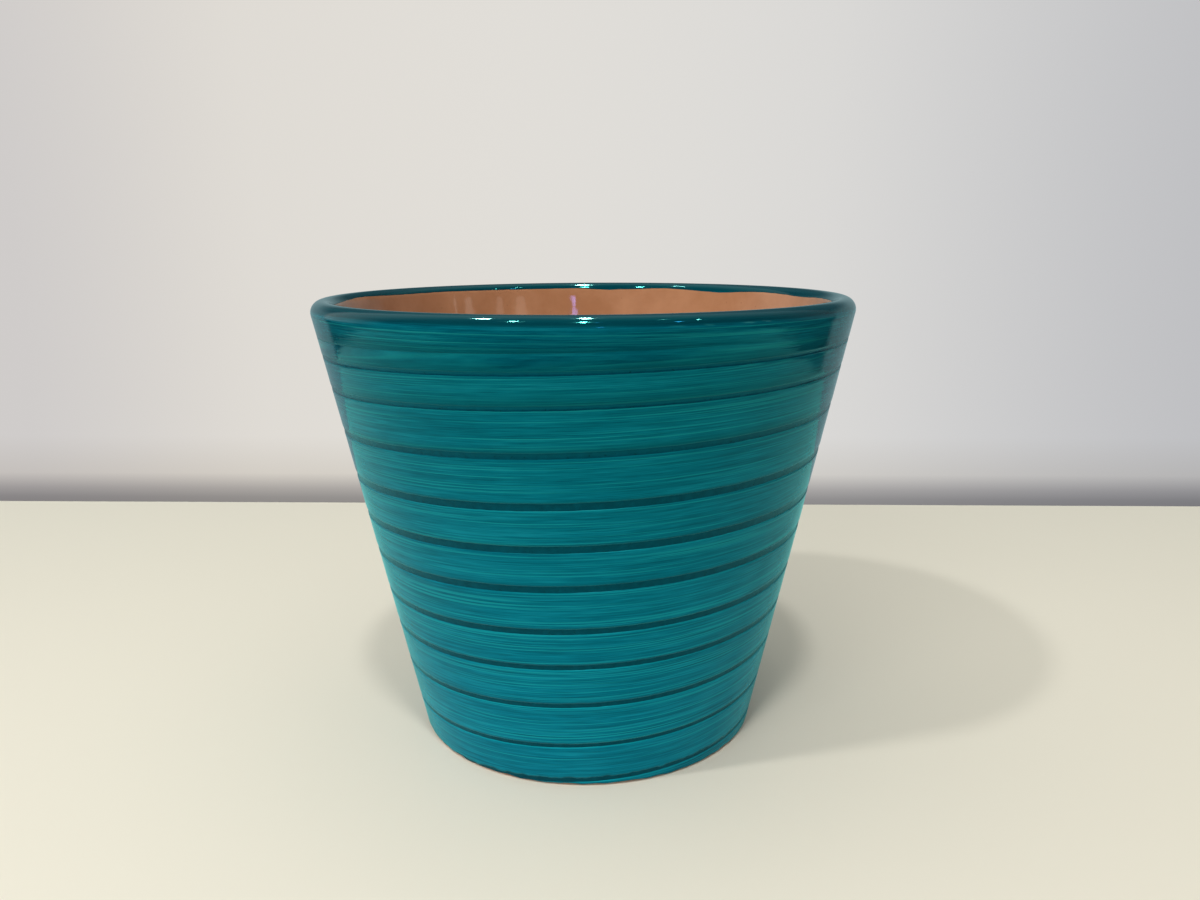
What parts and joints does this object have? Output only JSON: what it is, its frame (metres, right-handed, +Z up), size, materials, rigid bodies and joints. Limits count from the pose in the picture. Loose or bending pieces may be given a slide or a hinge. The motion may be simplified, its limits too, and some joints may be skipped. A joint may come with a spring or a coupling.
{
  "type": "cachepot",
  "caption": "Tapered round cachepot with a thick rounded rim, a brushed teal glaze crossed by a dark climbing line, and a clear-glazed terracotta inside.",
  "frame": {"origin": "centre of the foot, on the surface that the pot stands on", "axes": "+Z up along the pot's axis of turning; -Y is the front of the picture; the glaze line climbs from there towards +X"},
  "size_m": [0.16, 0.16, 0.133],
  "materials": {
    "terracotta": "bare fired earthenware, dry and matte",
    "teal_glaze": "glossy teal glaze brushed on a turning wheel, with fine lighter and darker streaks",
    "line_glaze": "dark pooled glaze, slightly rough and sunken",
    "clear_glaze": "glossy clear glaze over terracotta"
  },
  "bodies": {
    "root": {"clay_body": "terracotta", "outer_glaze": "teal_glaze", "band_line": "line_glaze", "inner_glaze": "clear_glaze"}
  },
  "joints": []
}
